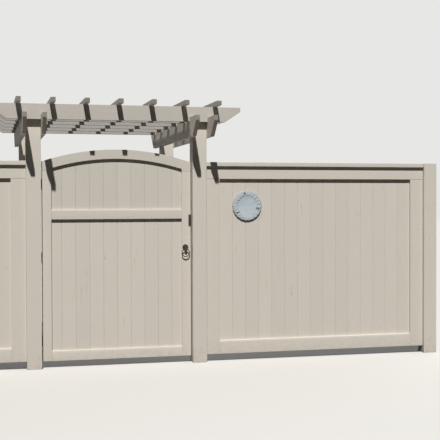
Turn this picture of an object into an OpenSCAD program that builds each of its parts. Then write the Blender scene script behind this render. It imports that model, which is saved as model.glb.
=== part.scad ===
// Arch-topped board gate under a four-post garden arbor, with one fence bay on each side.
// Millimetres. +Z is up, +X is to the right seen from the path, +Y leads through the gate into the arbor.
// The origin lies on the ground in the middle of the arbor, so the front posts stand at negative Y.

/* [Posts] */
// Clear width between the two front posts
opening_w = 1460; // [1300:2:1500]
// Side of the square posts
post_w = 140; // [110:5:170]
// How far the tops of the posts stay below the tops of the beams
post_below = 10; // [2:1:60]
// Depth of the arbor over the outsides of its posts
arbor_depth = 1830; // [1750:10:2400]

/* [Arbor timbers] */
// Thickness of the joists and side boards
timber_t = 38; // [32:1:45]
// Thickness of the front and rear beams
main_beam_t = 45; // [38:1:60]
// Height of the beams and joists
beam_h = 146; // [130:2:160]
// Length of the beams and joists
beam_l = 2400; // [2300:2:2700]
// Height of the underside of the beams above the ground
beam_z = 2356; // [2352:1:2400]
// Height of the side boards
side_board_h = 192; // [150:2:200]
// Depth of the notches that let the beams down over the side boards
lap = 44; // [20:1:50]
// Sideways play in each notch
lap_play = 1; // [0.5:0.5:3]
// How far the side boards reach past the posts
side_overhang = 327; // [250:1:360]
// How far the purlins reach past the posts
purlin_overhang = 232; // [150:1:320]
// Height of the square nose at the end of a beam or joist
nose_h = 42; // [20:1:60]
// Height of the square nose at the end of a side board
side_nose_h = 50; // [20:1:60]
// Length of the slanting cut behind the nose
cut_l = 155; // [80:5:200]
// Side of the square purlins
purlin_w = 45; // [30:1:50]
// Distance between neighbouring purlins
purlin_pitch = 314.3; // [250:0.1:340]
// Number of purlins
purlin_count = 7; // [5:2:7]

/* [Gate] */
// Gap between each side of the gate and its post
side_gap = 10; // [9:0.5:14]
// How far the gate's face lies behind the front of the posts
gate_set = 60; // [40:1:62]
// Thickness of the gate's stiles and rails
gate_t = 60; // [50:1:62]
// Height of the gate's lower edge above the ground
gate_z = 64; // [40:2:110]
// Height of the gate at its two sides
gate_side_z = 1967; // [1930:1:2000]
// How much higher the gate is at the top of its arch
arch_rise = 118; // [60:1:180]
// Width of the gate's stiles
stile_w = 88; // [84:1:110]
// Width of the arched rail
arch_rail_h = 90; // [70:1:100]
// How far below the top of its sides the arched rail stands on the stiles
arch_joint_drop = 92; // [85:1:120]
// Height of the bottom rail
bottom_rail_h = 98; // [80:1:140]
// Height of the underside of the middle rail
mid_rail_z = 1414; // [1250:1:1500]
// Height of the middle rail
mid_rail_h = 95; // [80:1:130]

/* [Boards] */
// Thickness of the upright boards
board_t = 18; // [15:1:20]
// Width that each board shows on the gate
gate_board_w = 133.5; // [110:0.5:150]
// Width that each board shows on the fence
fence_board_w = 136; // [110:0.5:150]
// Depth of the V groove between two boards, which is twice as wide as it is deep
vee_d = 3.5; // [1.5:0.5:5]
// Depth of the groove in the frame that holds the boards
housing = 12; // [8:1:15]
// Room left behind the boards in that groove
housing_play = 2; // [1:0.5:4]
// Height of the weathered slope at the top of a rail's face
slope_h = 21; // [12:1:28]
// How far that slope leans back
slope_d = 4.5; // [2:0.5:12]

/* [Fence] */
// Number of boards in one bay
fence_boards = 15; // [12:1:17]
// Thickness of the fence's stiles and rails
fence_t = 66; // [50:1:70]
// How far the fence lies behind the front of the posts
fence_set = 36; // [20:1:44]
// Width of the fence's stiles
fence_stile_w = 139; // [90:1:150]
// Height of the fence's bottom rail
fence_rail_h = 132; // [90:1:150]
// Height of the fence's top rail
fence_top_rail_h = 124; // [90:1:150]
// Height of the fence's lower edge above the ground
fence_z = 72; // [40:2:120]
// Height of the underside of the fence's cap
fence_cap_z = 1928; // [1880:2:1990]
// Thickness of the fence's cap
cap_t = 42; // [30:1:45]
// How far the cap reaches over the fence on each face
cap_over = 22; // [8:1:30]
// Height that the end posts stand above the cap
end_post_rise = 0; // [0:5:100]

/* [Plaque] */
// Diameter of the round plaque
plaque_d = 300; // [200:2:320]
// Thickness of the plaque at its rim
plaque_t = 25; // [18:1:30]
// Width of the plaque's raised rim
plaque_rim_w = 24; // [15:1:35]
// Depth of the dished field inside the rim
plaque_dish = 7; // [3:0.5:9]
// Distance from the middle of the gateway to the middle of the plaque
plaque_x = 1294; // [1200:1:1500]
// Height of the middle of the plaque
plaque_z = 1536; // [1300:2:1600]

/* [Hinges] */
// Height of each hinge
hinge_h = 102; // [80:2:130]
// Width of each hinge leaf
leaf_w = 38; // [30:1:50]
// Thickness of the hinge leaves
leaf_t = 3; // [2:0.5:3.5]
// Diameter of the hinge barrel
barrel_d = 12; // [10:0.5:13]
// Diameter of the hinge pin
pin_d = 6; // [5:0.5:7]
// Height of the middle of the lowest hinge
hinge_low_z = 250; // [200:5:400]
// Height of the middle of the second hinge
hinge_mid_z = 1050; // [900:5:1200]
// Height of the middle of the top hinge
hinge_top_z = 1750; // [1600:5:1790]

/* [Ring handle and latch] */
// Distance from the gate's latch edge to the spindle
backset = 54; // [50:1:56]
// Height of the spindle
spindle_z = 1133; // [1000:1:1250]
// Diameter of the spindle
spindle_d = 11; // [8:0.5:13]
// Play of the spindle in the bored stile and roses, on the diameter
spindle_play = 1; // [0.6:0.2:2]
// Diameter of the round rose behind the ring
rose_d = 58; // [48:1:64]
// Thickness of the front rose
rose_t = 6; // [4:0.5:8]
// Diameter of the boss that carries the ring
boss_d = 25; // [22:0.5:30]
// Distance from the spindle down to the hole for the ring
ring_drop = 18; // [16:0.5:22]
// Outer diameter of the ring
ring_d = 83; // [76:1:90]
// Thickness of the ring's bar
ring_bar = 9; // [7:0.5:9.5]
// Distance from the stile's face to the middle of the ring's bar
ring_stand = 20; // [19:0.5:26]
// Diameter of the hole that the ring hangs in
ring_hole_d = 13; // [13:0.5:14]
// Thickness of the latch bar
latch_t = 6; // [4:0.5:8]
// Height of the latch bar
latch_h = 20; // [16:1:26]
// How far the latch bar reaches into the notch in the post
latch_reach = 12; // [8:1:20]
// Thickness of the back rose that keeps the bar off the gate
back_rose_t = 5; // [4.5:0.5:8]
// Thickness of the keeper's metal
keeper_t = 3; // [2:0.5:5]
// Clear space round the latch bar inside the notch
notch_clear = 5.5; // [5.5:0.5:10]
// Width of the black guard plate at the edge of the gate
guard_w = 24; // [16:1:30]
// Height of that plate
guard_h = 108; // [80:1:130]
// Thickness of that plate
guard_t = 6; // [3:0.5:10]
// Height of the middle of that plate
guard_z = 1400; // [1300:1:1450]
// How far that plate reaches past the edge of the gate
guard_past = 2.5; // [0:0.5:2.5]

/* [Hidden] */

paint = "#c8c2b8";
iron = "#2b2927";
slate = "#a9b4bb";
// Cutting solids start and end this far outside what they cut
over = 1;
$fn = 96;

// The posts stand on the corners of the arbor
front_y = -arbor_depth / 2;
rear_y = arbor_depth / 2;
post_x = opening_w / 2;
post_back_y = front_y + post_w;

// The gate hangs between the front posts
gate_front_y = front_y + gate_set;
gate_back_y = gate_front_y + gate_t;
gate_half = post_x - side_gap;
clear_half = gate_half - stile_w;
gate_peak_z = gate_side_z + arch_rise;
arch_joint_z = gate_side_z - arch_joint_drop;
arch_r = (gate_half * gate_half + arch_rise * arch_rise) / (2 * arch_rise);
arch_centre_z = gate_peak_z - arch_r;
inner_arch_r = arch_r - arch_rail_h;
board_hold = housing - housing_play;

// Side boards lie on both faces of each post, and the beams sit down over them
side_board_z = beam_z + lap - side_board_h;
side_board_xs = [-post_x - post_w - timber_t, -post_x, post_x - timber_t, post_x + post_w];
beam_top = beam_z + beam_h;
post_h = beam_top - post_below;

// The first joist lies on the back of the front posts, the rear beam on the back of the rear posts
joist_pitch = (rear_y - post_back_y) / 4;

// One fence bay runs from a front post to its end post
bay_w = 2 * fence_stile_w + fence_boards * fence_board_w;
fence_x = post_x + post_w;
fence_front_y = front_y + fence_set;
fence_board_y = fence_front_y + (fence_t - board_t) / 2;

// Hinge leaves lie in the gap beside the gate, and their barrels stand behind it
leaf_clear = 1;
leaf_past_gate = 0.5;
knuckle_gap = 0.6;
pin_play = 0.2;
knuckle_h = hinge_h / 5;
hinge_x = -gate_half - leaf_t;
leaf_end_y = gate_back_y + leaf_past_gate;
hinge_y = leaf_end_y + leaf_clear + barrel_d / 2;
hinge_zs = [hinge_low_z, hinge_mid_z, hinge_top_z];

// Ring handle and latch
spindle_x = gate_half - backset;
running_gap = 0.5;
key_play = 0.2;
ring_r = (ring_d - ring_bar) / 2;
ring_lift = 0.3;
lug_wall = 4.5;
lug_r = ring_hole_d / 2 + lug_wall;
boss_front = ring_stand + ring_hole_d / 2 + 3.5;
ring_y = gate_front_y - ring_stand;
ring_pivot_z = spindle_z - ring_drop;
latch_y = gate_back_y + back_rose_t + running_gap;
latch_l = post_x + latch_reach - spindle_x;
tip_r = latch_h / 2;
turn_max = 22;

// The notch in the post leaves room for the latch bar from rest to fully raised
notch_x = latch_reach + notch_clear + keeper_t;
notch_y = latch_y - notch_clear;
notch_low_z = spindle_z - tip_r - notch_clear - keeper_t;
notch_top_z = spindle_z + (latch_l - tip_r) * sin(turn_max) + tip_r + notch_clear;

// A straight timber on edge, with both lower corners cut back behind a square nose
module nosed_outline(length, height, nose) {
    half = length / 2;
    polygon([
        [-half, height], [half, height], [half, height - nose], [half - cut_l, 0],
        [-half + cut_l, 0], [-half, height - nose]
    ]);
}

// A beam or joist with its front face at the given Y, notched from below over the four side boards
module cross_timber(y, thickness) {
    difference() {
        translate([0, y + thickness, beam_z]) rotate([90, 0, 0])
            linear_extrude(thickness) nosed_outline(beam_l, beam_h, nose_h);
        for (x = side_board_xs)
            translate([x - lap_play / 2, y - over, beam_z - over])
                cube([timber_t + lap_play, thickness + 2 * over, lap + over]);
    }
}

// The front or rear beam, with its front face at the given Y
module main_beam(y) {
    cross_timber(y, main_beam_t);
}

// A joist of the roof, counted from the front posts' back faces
module joist(i) {
    cross_timber(post_back_y + i * joist_pitch, timber_t);
}

// A side board that runs from front to back along the faces of two posts
module side_board(i) {
    translate([side_board_xs[i], 0, side_board_z]) rotate([90, 0, 90])
        linear_extrude(timber_t)
            nosed_outline(arbor_depth + 2 * side_overhang, side_board_h, side_nose_h);
}

// A square purlin laid on top of the beams and joists
module purlin(i) {
    x = (i - (purlin_count + 1) / 2) * purlin_pitch;
    translate([x - purlin_w / 2, front_y - purlin_overhang, beam_top])
        cube([purlin_w, arbor_depth + 2 * purlin_overhang, purlin_w]);
}

// A square post with its near left corner at the given place
module post(x, y, height) {
    translate([x, y, 0]) cube([post_w, post_w, height]);
}

// The front right post has a notch in its inner face, open to the back, for the latch bar
module latch_post() {
    difference() {
        post(post_x, front_y, post_h);
        translate([post_x - over, notch_y, notch_low_z])
            cube([notch_x + over, post_back_y - notch_y + over, notch_top_z - notch_low_z]);
    }
}

// The cross-section of a row of boards, with a V groove on both faces where two boards meet
module boards_section(x0, x1, joints) {
    difference() {
        translate([x0, 0]) square([x1 - x0, board_t]);
        for (x = joints) {
            translate([x, 0]) rotate(45) square(vee_d * sqrt(2), center = true);
            translate([x, board_t]) rotate(45) square(vee_d * sqrt(2), center = true);
        }
    }
}

// A rail along X with a slope on both upper edges, grooved for boards in its top or its foot
module rail(half_w, z, height, groove_top, groove_foot) {
    translate([-half_w, gate_front_y, z]) rotate([90, 0, 90])
        linear_extrude(2 * half_w) difference() {
            polygon([
                [0, 0], [gate_t, 0], [gate_t, height - slope_h], [gate_t - slope_d, height],
                [slope_d, height], [0, height - slope_h]
            ]);
            if (groove_top) translate([(gate_t - board_t) / 2, height - housing])
                square([board_t, housing + over]);
            if (groove_foot) translate([(gate_t - board_t) / 2, -over])
                square([board_t, housing + over]);
        }
}

// An upright gate stile that starts at the given X, with the board groove in its inner edge
module gate_stile(x, groove_x) {
    translate([0, 0, gate_z]) linear_extrude(arch_joint_z - gate_z) difference() {
        translate([x, gate_front_y]) square([stile_w, gate_t]);
        translate([groove_x, gate_front_y + (gate_t - board_t) / 2])
            square([housing + over, board_t]);
    }
}

// What lies under a circle about the arch's centre, above the given height
module under_arch(radius, half_w, z0) {
    intersection() {
        translate([0, arch_centre_z]) circle(r = radius, $fn = 360);
        translate([-half_w, z0]) square([2 * half_w, gate_peak_z + over - z0]);
    }
}

// The arched rail spans the whole gate and stands on both stiles
module gate_arch_rail() {
    color(paint) difference() {
        translate([0, gate_back_y, 0]) rotate([90, 0, 0]) linear_extrude(gate_t) difference() {
            under_arch(arch_r, gate_half, arch_joint_z);
            under_arch(inner_arch_r, clear_half, arch_joint_z - over);
        }
        translate([0, gate_front_y + (gate_t + board_t) / 2, 0]) rotate([90, 0, 0])
            linear_extrude(board_t)
                under_arch(inner_arch_r + housing, clear_half + housing, arch_joint_z - over);
    }
}

module gate_hinge_stile() {
    color(paint) gate_stile(-gate_half, -clear_half - housing);
}

// The latch stile is bored for the spindle
module gate_latch_stile() {
    color(paint) difference() {
        gate_stile(clear_half, clear_half - over);
        translate([spindle_x, gate_front_y - over, spindle_z]) rotate([-90, 0, 0])
            cylinder(d = spindle_d + spindle_play, h = gate_t + 2 * over);
    }
}

module gate_mid_rail() {
    color(paint) rail(clear_half, mid_rail_z, mid_rail_h, true, true);
}

module gate_bottom_rail() {
    color(paint) rail(clear_half, gate_z, bottom_rail_h, true, false);
}

// The upright boards of the gate between two heights, let into the frame all round
module gate_boards(z0, z1) {
    reach = clear_half + board_hold;
    count = floor(clear_half / gate_board_w);
    joints = [for (i = [-count : count]) i * gate_board_w];
    translate([0, gate_front_y + (gate_t - board_t) / 2, z0]) linear_extrude(z1 - z0)
        boards_section(-reach, reach, joints);
}

// The upper boards follow the arch
module gate_upper_boards() {
    z0 = mid_rail_z + mid_rail_h - board_hold;
    color(paint) intersection() {
        gate_boards(z0, gate_peak_z);
        translate([0, gate_back_y, 0]) rotate([90, 0, 0]) linear_extrude(gate_t)
            under_arch(inner_arch_r + board_hold, gate_half, z0 - over);
    }
}

module gate_lower_boards() {
    color(paint) gate_boards(gate_z + bottom_rail_h - board_hold, mid_rail_z + board_hold);
}

// One side of the fence is the mirror image of the other; side 1 is the right one
module fence_side(side) {
    mirror([side > 0 ? 0 : 1, 0, 0]) children();
}

// A framed panel of upright boards; the bottom rail sheds water with its slope
module fence_panel(side) {
    x0 = fence_x + fence_stile_w;
    x1 = fence_x + bay_w - fence_stile_w;
    joints = [for (i = [1 : fence_boards - 1]) x0 + i * fence_board_w];
    color(paint) fence_side(side) union() {
        for (x = [fence_x, x1]) translate([x, fence_front_y, fence_z])
            cube([fence_stile_w, fence_t, fence_cap_z - fence_z]);
        translate([x0, fence_front_y, fence_cap_z - fence_top_rail_h])
            cube([x1 - x0, fence_t, fence_top_rail_h]);
        translate([x0, fence_front_y, fence_z]) rotate([90, 0, 90]) linear_extrude(x1 - x0)
            polygon([
                [0, 0], [fence_t, 0], [fence_t, fence_rail_h - slope_h],
                [fence_t - slope_d, fence_rail_h], [slope_d, fence_rail_h], [0, fence_rail_h - slope_h]
            ]);
        translate([0, fence_board_y, fence_z + fence_rail_h - board_hold])
            linear_extrude(fence_cap_z - fence_top_rail_h - fence_z - fence_rail_h + 2 * board_hold)
                boards_section(x0 - board_hold, x1 + board_hold, joints);
    }
}

// The flat cap lies on the panel between the posts
module fence_cap(side) {
    color(paint) fence_side(side)
        translate([fence_x, fence_front_y - cap_over, fence_cap_z])
            cube([bay_w, fence_t + 2 * cap_over, cap_t]);
}

module end_post(side) {
    color(paint) fence_side(side)
        post(fence_x + bay_w, front_y, fence_cap_z + cap_t + end_post_rise);
}

// A dished round plaque with a raised rim, hung on the boards of the right bay
module plaque() {
    r = plaque_d / 2;
    edge = 6;
    field = plaque_t - plaque_dish;
    color(slate) translate([plaque_x, fence_board_y, plaque_z]) rotate([90, 0, 0])
        rotate_extrude($fn = 180)
            polygon([
                [0, 0], [r, 0], [r, plaque_t - edge], [r - edge, plaque_t],
                [r - plaque_rim_w + edge, plaque_t], [r - plaque_rim_w, field], [0, field]
            ]);
}

// One hinge leaf with its share of the five knuckles
module hinge_leaf(z, on_gate) {
    z0 = z - hinge_h / 2;
    x0 = on_gate ? -gate_half - leaf_t : -post_x;
    difference() {
        union() {
            translate([x0, leaf_end_y - leaf_w, z0]) cube([leaf_t, leaf_w, hinge_h]);
            for (k = on_gate ? [1, 3] : [0, 2, 4])
                translate([0, 0, z0 + k * knuckle_h + knuckle_gap / 2]) {
                    translate([hinge_x, hinge_y, 0])
                        cylinder(d = barrel_d, h = knuckle_h - knuckle_gap);
                    translate([x0, leaf_end_y - over, 0])
                        cube([leaf_t, hinge_y - leaf_end_y + over, knuckle_h - knuckle_gap]);
                }
        }
        if (on_gate) translate([hinge_x, hinge_y, z0 - over])
            cylinder(d = pin_d + 2 * pin_play, h = hinge_h + 2 * over);
    }
    if (!on_gate) translate([hinge_x, hinge_y, z0]) cylinder(d = pin_d, h = hinge_h);
}

module gate_hinge_leaves() {
    color(iron) for (z = hinge_zs) hinge_leaf(z, true);
}

module post_hinge_leaves() {
    color(iron) for (z = hinge_zs) hinge_leaf(z, false);
}

// A round rose with a chamfered edge, standing out from the given face
module rose(y, thickness, turn) {
    r = rose_d / 2;
    bore_r = (spindle_d + spindle_play) / 2;
    edge = 2;
    translate([spindle_x, y, spindle_z]) rotate([turn, 0, 0]) rotate_extrude()
        polygon([
            [bore_r, 0], [r, 0], [r, thickness - edge], [r - edge, thickness], [bore_r, thickness]
        ]);
}

// The two roses stand on both faces of the latch stile
module handle_roses() {
    color(iron) {
        rose(gate_front_y, rose_t, 90);
        rose(gate_back_y, back_rose_t, -90);
    }
}

// The black plate at the front edge of the latch stile
module guard_plate() {
    edge = 1.5;
    color(iron) translate([gate_half + guard_past - guard_w, gate_front_y, guard_z - guard_h / 2])
        linear_extrude(guard_h)
            polygon([
                [0, 0], [guard_w, 0], [guard_w, -guard_t + edge], [guard_w - edge, -guard_t],
                [edge, -guard_t], [0, -guard_t + edge]
            ]);
}

// The front boss with its drilled lug, and the spindle that runs through the stile to the latch bar
module handle_spindle() {
    boss_y = gate_front_y - rose_t - running_gap;
    nut_t = 5;
    color(iron) {
        difference() {
            translate([spindle_x, boss_y, spindle_z]) rotate([90, 0, 0])
                linear_extrude(boss_front - rose_t - running_gap) union() {
                    circle(d = boss_d);
                    translate([0, -ring_drop]) circle(r = lug_r);
                    translate([-lug_r, -ring_drop]) square([2 * lug_r, ring_drop]);
                }
            translate([spindle_x - boss_d, ring_y, ring_pivot_z]) rotate([0, 90, 0])
                cylinder(d = ring_hole_d, h = 2 * boss_d);
        }
        translate([spindle_x, boss_y - over, spindle_z]) rotate([-90, 0, 0])
            cylinder(d = spindle_d, h = latch_y + latch_t + nut_t - boss_y + over);
        translate([spindle_x, latch_y + latch_t, spindle_z]) rotate([-90, 0, 0])
            cylinder(d = latch_h - 2, h = nut_t);
    }
}

// The flat latch bar is keyed to the spindle and reaches into the notch in the post
module latch_bar() {
    color(iron) translate([spindle_x, latch_y + latch_t, spindle_z]) rotate([90, 0, 0])
        linear_extrude(latch_t) difference() {
            union() {
                circle(d = latch_h);
                translate([0, -tip_r]) square([latch_l - tip_r, latch_h]);
                translate([latch_l - tip_r, 0]) circle(r = tip_r);
            }
            circle(d = spindle_d + key_play);
        }
}

// The ring hangs in the drilled lug
module handle_ring() {
    color(iron) translate([spindle_x, ring_y, ring_pivot_z + ring_lift - ring_r])
        rotate([90, 0, 0]) rotate_extrude() translate([ring_r, 0]) circle(d = ring_bar, $fn = 48);
}

// The keeper lines the foot and the end of the notch
module latch_keeper() {
    height = notch_top_z - notch_low_z;
    color(iron) translate([post_x, post_back_y, notch_low_z]) rotate([90, 0, 0])
        linear_extrude(post_back_y - notch_y)
            polygon([
                [0, 0], [notch_x, 0], [notch_x, height], [notch_x - keeper_t, height],
                [notch_x - keeper_t, keeper_t], [0, keeper_t]
            ]);
}

color(paint) post(-post_x - post_w, front_y, post_h);  // front_left_post
color(paint) latch_post();  // front_right_post
color(paint) post(-post_x - post_w, rear_y - post_w, post_h);  // rear_left_post
color(paint) post(post_x, rear_y - post_w, post_h);  // rear_right_post
color(paint) main_beam(front_y - main_beam_t);  // front_beam
color(paint) joist(0);  // joist_1
color(paint) joist(1);  // joist_2
color(paint) joist(2);  // joist_3
color(paint) joist(3);  // joist_4
color(paint) main_beam(rear_y);  // rear_beam
color(paint) side_board(0);  // left_outer_side_board
color(paint) side_board(1);  // left_inner_side_board
color(paint) side_board(2);  // right_inner_side_board
color(paint) side_board(3);  // right_outer_side_board
for (i = [1 : purlin_count])
    color(paint) purlin(i);
fence_panel(-1);  // left_fence_panel
fence_cap(-1);  // left_fence_cap
end_post(-1);  // left_end_post
fence_panel(1);  // right_fence_panel
fence_cap(1);  // right_fence_cap
end_post(1);  // right_end_post
plaque();
gate_arch_rail();
gate_hinge_stile();
gate_latch_stile();
gate_mid_rail();
gate_bottom_rail();
gate_upper_boards();
gate_lower_boards();
gate_hinge_leaves();
post_hinge_leaves();
handle_roses();
guard_plate();
latch_keeper();
handle_spindle();
latch_bar();
handle_ring();
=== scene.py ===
# %% [markdown]
# # An arch-topped garden gate under an open arbor
#
# The gate hangs between two square posts. An open arbor stands on those posts and on two more
# behind them, and a board fence runs on to both sides. Nearly everything is softwood under one
# coat of matt taupe paint; only the hinges, the latch and its ring are black iron, and a round
# grey-blue plaque hangs on the right bay.
#
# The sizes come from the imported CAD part, which is loaded first and serves as the fixed frame.
# Each timber is then built again with what a plain solid lacks: rounded edges, separate boards
# with tongues and grooves, screws, grain, knots and wear.

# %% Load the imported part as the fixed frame
import math
import random

import bmesh
import bpy
from mathutils import Matrix, Vector


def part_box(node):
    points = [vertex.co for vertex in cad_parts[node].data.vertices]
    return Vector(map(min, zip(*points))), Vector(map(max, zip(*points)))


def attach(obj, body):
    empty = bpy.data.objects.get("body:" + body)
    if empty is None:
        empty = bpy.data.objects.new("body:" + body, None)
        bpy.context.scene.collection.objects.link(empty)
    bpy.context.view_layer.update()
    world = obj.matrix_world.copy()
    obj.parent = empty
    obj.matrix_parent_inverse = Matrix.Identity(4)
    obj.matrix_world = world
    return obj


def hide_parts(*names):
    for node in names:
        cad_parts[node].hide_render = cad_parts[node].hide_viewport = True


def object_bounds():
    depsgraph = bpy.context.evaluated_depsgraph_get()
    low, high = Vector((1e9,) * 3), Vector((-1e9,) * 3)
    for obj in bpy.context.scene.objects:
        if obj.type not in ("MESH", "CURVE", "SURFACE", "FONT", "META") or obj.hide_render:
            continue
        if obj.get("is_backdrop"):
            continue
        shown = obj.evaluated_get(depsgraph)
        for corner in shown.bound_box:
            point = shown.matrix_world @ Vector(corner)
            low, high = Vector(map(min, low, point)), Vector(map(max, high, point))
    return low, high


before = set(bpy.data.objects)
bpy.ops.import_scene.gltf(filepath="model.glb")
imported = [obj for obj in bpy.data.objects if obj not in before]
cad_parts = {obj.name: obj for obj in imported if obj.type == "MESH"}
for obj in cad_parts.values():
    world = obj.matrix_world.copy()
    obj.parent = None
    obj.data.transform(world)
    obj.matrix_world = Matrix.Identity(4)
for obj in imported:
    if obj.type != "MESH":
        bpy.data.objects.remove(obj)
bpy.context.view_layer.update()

# %% [markdown]
# ## Camera
#
# The camera's place was worked out from the converging edges of the timbers: it stands about
# nine metres in front of the gate and a little to the left, at eye height, and looks almost
# level. A long lens keeps the uprights straight. The camera could also be aimed with a Track To
# constraint, but three plain angles say more clearly where it looks.

# %% Camera
scene = bpy.context.scene
CAMERA_PLACE = Vector((-1.2592, -10.0842, 1.5791))
TURN, DIP, LEAN = math.radians(13.859), math.radians(1.094), math.radians(-0.157)
LENS_MM, SENSOR_MM, FARTHEST = 78.49, 36, 200

ahead = Vector((math.sin(TURN) * math.cos(DIP), math.cos(TURN) * math.cos(DIP), -math.sin(DIP)))
level = Vector((math.cos(TURN), -math.sin(TURN), 0))
upright = level.cross(ahead)
right = math.cos(LEAN) * level + math.sin(LEAN) * upright
up = math.cos(LEAN) * upright - math.sin(LEAN) * level
turned = Matrix((right, up, -ahead)).transposed().to_4x4()

camera = bpy.data.objects.new("camera", bpy.data.cameras.new("camera"))
camera.data.lens = LENS_MM
camera.data.sensor_width = SENSOR_MM
camera.data.clip_end = FARTHEST
camera.matrix_world = Matrix.Translation(CAMERA_PLACE) @ turned
scene.collection.objects.link(camera)
bpy.context.scene.camera = camera
print("camera", [round(v, 2) for v in CAMERA_PLACE], "looks along", [round(v, 3) for v in ahead])

# %% [markdown]
# ## Node arithmetic
#
# A procedural material is a formula: noise, stretched and thresholded, mixes one colour into
# another. Wired by hand, such a formula is hard to read. This small class wraps one output
# socket, so that `1 - mask * 0.5` makes the Math nodes that it stands for. Vectors and colours
# go through Vector Math and Mix in the same way, and `node` adds any other node.

# %% Node arithmetic
class Wire:
    """One output socket of a node tree, which takes part in arithmetic."""

    def __init__(self, tree, socket):
        self.tree, self.socket = tree, socket

    def node(self, kind, settings, inputs, output=0):
        """Adds a node: its type, its settings, then values or wires for its inputs."""
        made = self.tree.nodes.new("ShaderNode" + kind)
        for key, value in settings.items():
            setattr(made, key, value)
        for key, value in (inputs.items() if isinstance(inputs, dict) else enumerate(inputs)):
            if isinstance(value, Wire):
                self.tree.links.new(value.socket, made.inputs[key])
            else:
                made.inputs[key].default_value = value
        return Wire(self.tree, made.outputs[output])

    def maths(self, operation, *values):
        """A Math node, or a Vector Math node where any value is a vector or a colour."""
        wide = [v for v in values if isinstance(v, tuple)
                or isinstance(v, Wire) and v.socket.type in ("VECTOR", "RGBA")]
        if not wide:
            return self.node("Math", {"operation": operation}, values)
        full = [(v, v, v) if isinstance(v, (int, float)) else v for v in values]
        output = 1 if operation == "DOT_PRODUCT" else 0
        return self.node("VectorMath", {"operation": operation}, full, output)

    def __add__(self, other): return self.maths("ADD", self, other)
    def __radd__(self, other): return self.maths("ADD", other, self)
    def __sub__(self, other): return self.maths("SUBTRACT", self, other)
    def __rsub__(self, other): return self.maths("SUBTRACT", other, self)
    def __mul__(self, other): return self.maths("MULTIPLY", self, other)
    def __rmul__(self, other): return self.maths("MULTIPLY", other, self)
    def __abs__(self): return self.maths("ABSOLUTE", self)

    def ramp(self, start, end, low=0.0, high=1.0):
        """Goes smoothly from low to high while this value goes from start to end."""
        return self.node("MapRange", {"interpolation_type": "SMOOTHSTEP"},
                         [self, start, end, low, high])

    def noise(self, scale, detail, roughness):
        """Noise over this vector; scale counts its lumps per metre."""
        return self.node("TexNoise", {}, {"Vector": self, "Scale": scale, "Detail": detail,
                                          "Roughness": roughness})

    def blend(self, other, share):
        """This colour with a share of another mixed in."""
        return self.node("Mix", {"data_type": "RGBA"}, {0: share, 6: self, 7: other}, 2)

    def upward(self):
        """The vertical part of this vector."""
        return self.node("SeparateXYZ", {}, [self], 2)


# %% [markdown]
# ## Starting a finish
#
# Every finish starts from a Principled BSDF, needs to know where its surface lies and how it
# faces, and ends in a few links and a Bump node. These helpers do that part. The Object output
# of Texture Coordinate counts in metres, so a scale of 17 means 17 lumps per metre. A UV map
# would need unwrapping first, and the grain would break at its seams.

# %% Starting a finish
def start_material(name, colour, roughness):
    """A new material and its shader, and wires for where its surface lies and how it faces."""
    material = bpy.data.materials.new(name)
    material.use_nodes = True
    material.diffuse_color = (*colour, 1)
    tree = material.node_tree
    shader = tree.nodes["Principled BSDF"]
    shader.inputs["Base Color"].default_value = (*colour, 1)
    shader.inputs["Roughness"].default_value = roughness
    where = tree.nodes.new("ShaderNodeTexCoord").outputs
    return material, shader, Wire(tree, where["Object"]), Wire(tree, where["Normal"])


def note(wire, name):
    """Reads a number that the mesh stores on its faces or corners."""
    return wire.node("Attribute", {"attribute_name": name}, {}, 2)


def surface(shader, bump_from, **sockets):
    """Links wires to the shader's sockets, and a height to its normal through a Bump node."""
    for name, wire in sockets.items():
        wire.tree.links.new(wire.socket, shader.inputs[name.replace("_", " ")])
    height, distance, strength = bump_from
    normal = height.node("Bump", {}, {"Height": height, "Distance": distance, "Strength": strength})
    normal.tree.links.new(normal.socket, shader.inputs["Normal"])


def background_rays(tree):
    """A mask that is 1 for what is seen, also in gloss or through glass, and 0 for other light."""
    rays = tree.nodes.new("ShaderNodeLightPath").outputs
    mask = Wire(tree, rays["Is Camera Ray"])
    for kind in ("Is Glossy Ray", "Is Transmission Ray"):
        mask = mask.maths("MAXIMUM", mask, Wire(tree, rays[kind]))
    return mask


# %% [markdown]
# ## Floor
#
# A plain pale floor runs to the horizon, where the world's own pale tone takes over. Pale ground
# would also throw light up under the rails, and wash out the dark bands there. Light Path keeps
# both: the camera and shiny surfaces see the pale tone, and the timber is lit as if the ground
# were dark.

# %% Floor
FLOOR_REACH = 60
PALE, DIM = (0.50, 0.497, 0.49), (0.06, 0.058, 0.054)

floor_mesh = bpy.data.meshes.new("floor")
floor_mesh.from_pydata([(x * FLOOR_REACH, y * FLOOR_REACH, 0)
                        for x, y in ((-1, -1), (1, -1), (1, 1), (-1, 1))], [], [(0, 1, 2, 3)])
floor = bpy.data.objects.new("floor", floor_mesh)
scene.collection.objects.link(floor)
floor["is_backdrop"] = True

floor_paint, floor_shader, _, _ = start_material("floor_paint", PALE, 0.9)
floor_shader.inputs["Specular IOR Level"].default_value = 0.0
shown = background_rays(floor_paint.node_tree)
floor_colour = shown.node("Mix", {"data_type": "RGBA"}, {0: shown, 6: (*DIM, 1), 7: (*PALE, 1)}, 2)
floor_paint.node_tree.links.new(floor_colour.socket, floor_shader.inputs["Base Color"])
floor.data.materials.append(floor_paint)
print("floor", 2 * FLOOR_REACH, "m across")

# %% [markdown]
# ## Backdrop and light
#
# One sun lamp shines down from the front, a little from the left. It draws the shadows of the
# purlins on the front beam, and the dark bands under the rails that show how deep the boards are
# set. It keeps those shadows parallel, where an area lamp would spread and soften them.
#
# The world fills the shade. It is weak all round, so that those bands stay dark, and strong only
# from behind on the right, because the lamp never reaches that side. As on the floor, the camera
# sees a plain pale tone in its place.

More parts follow.
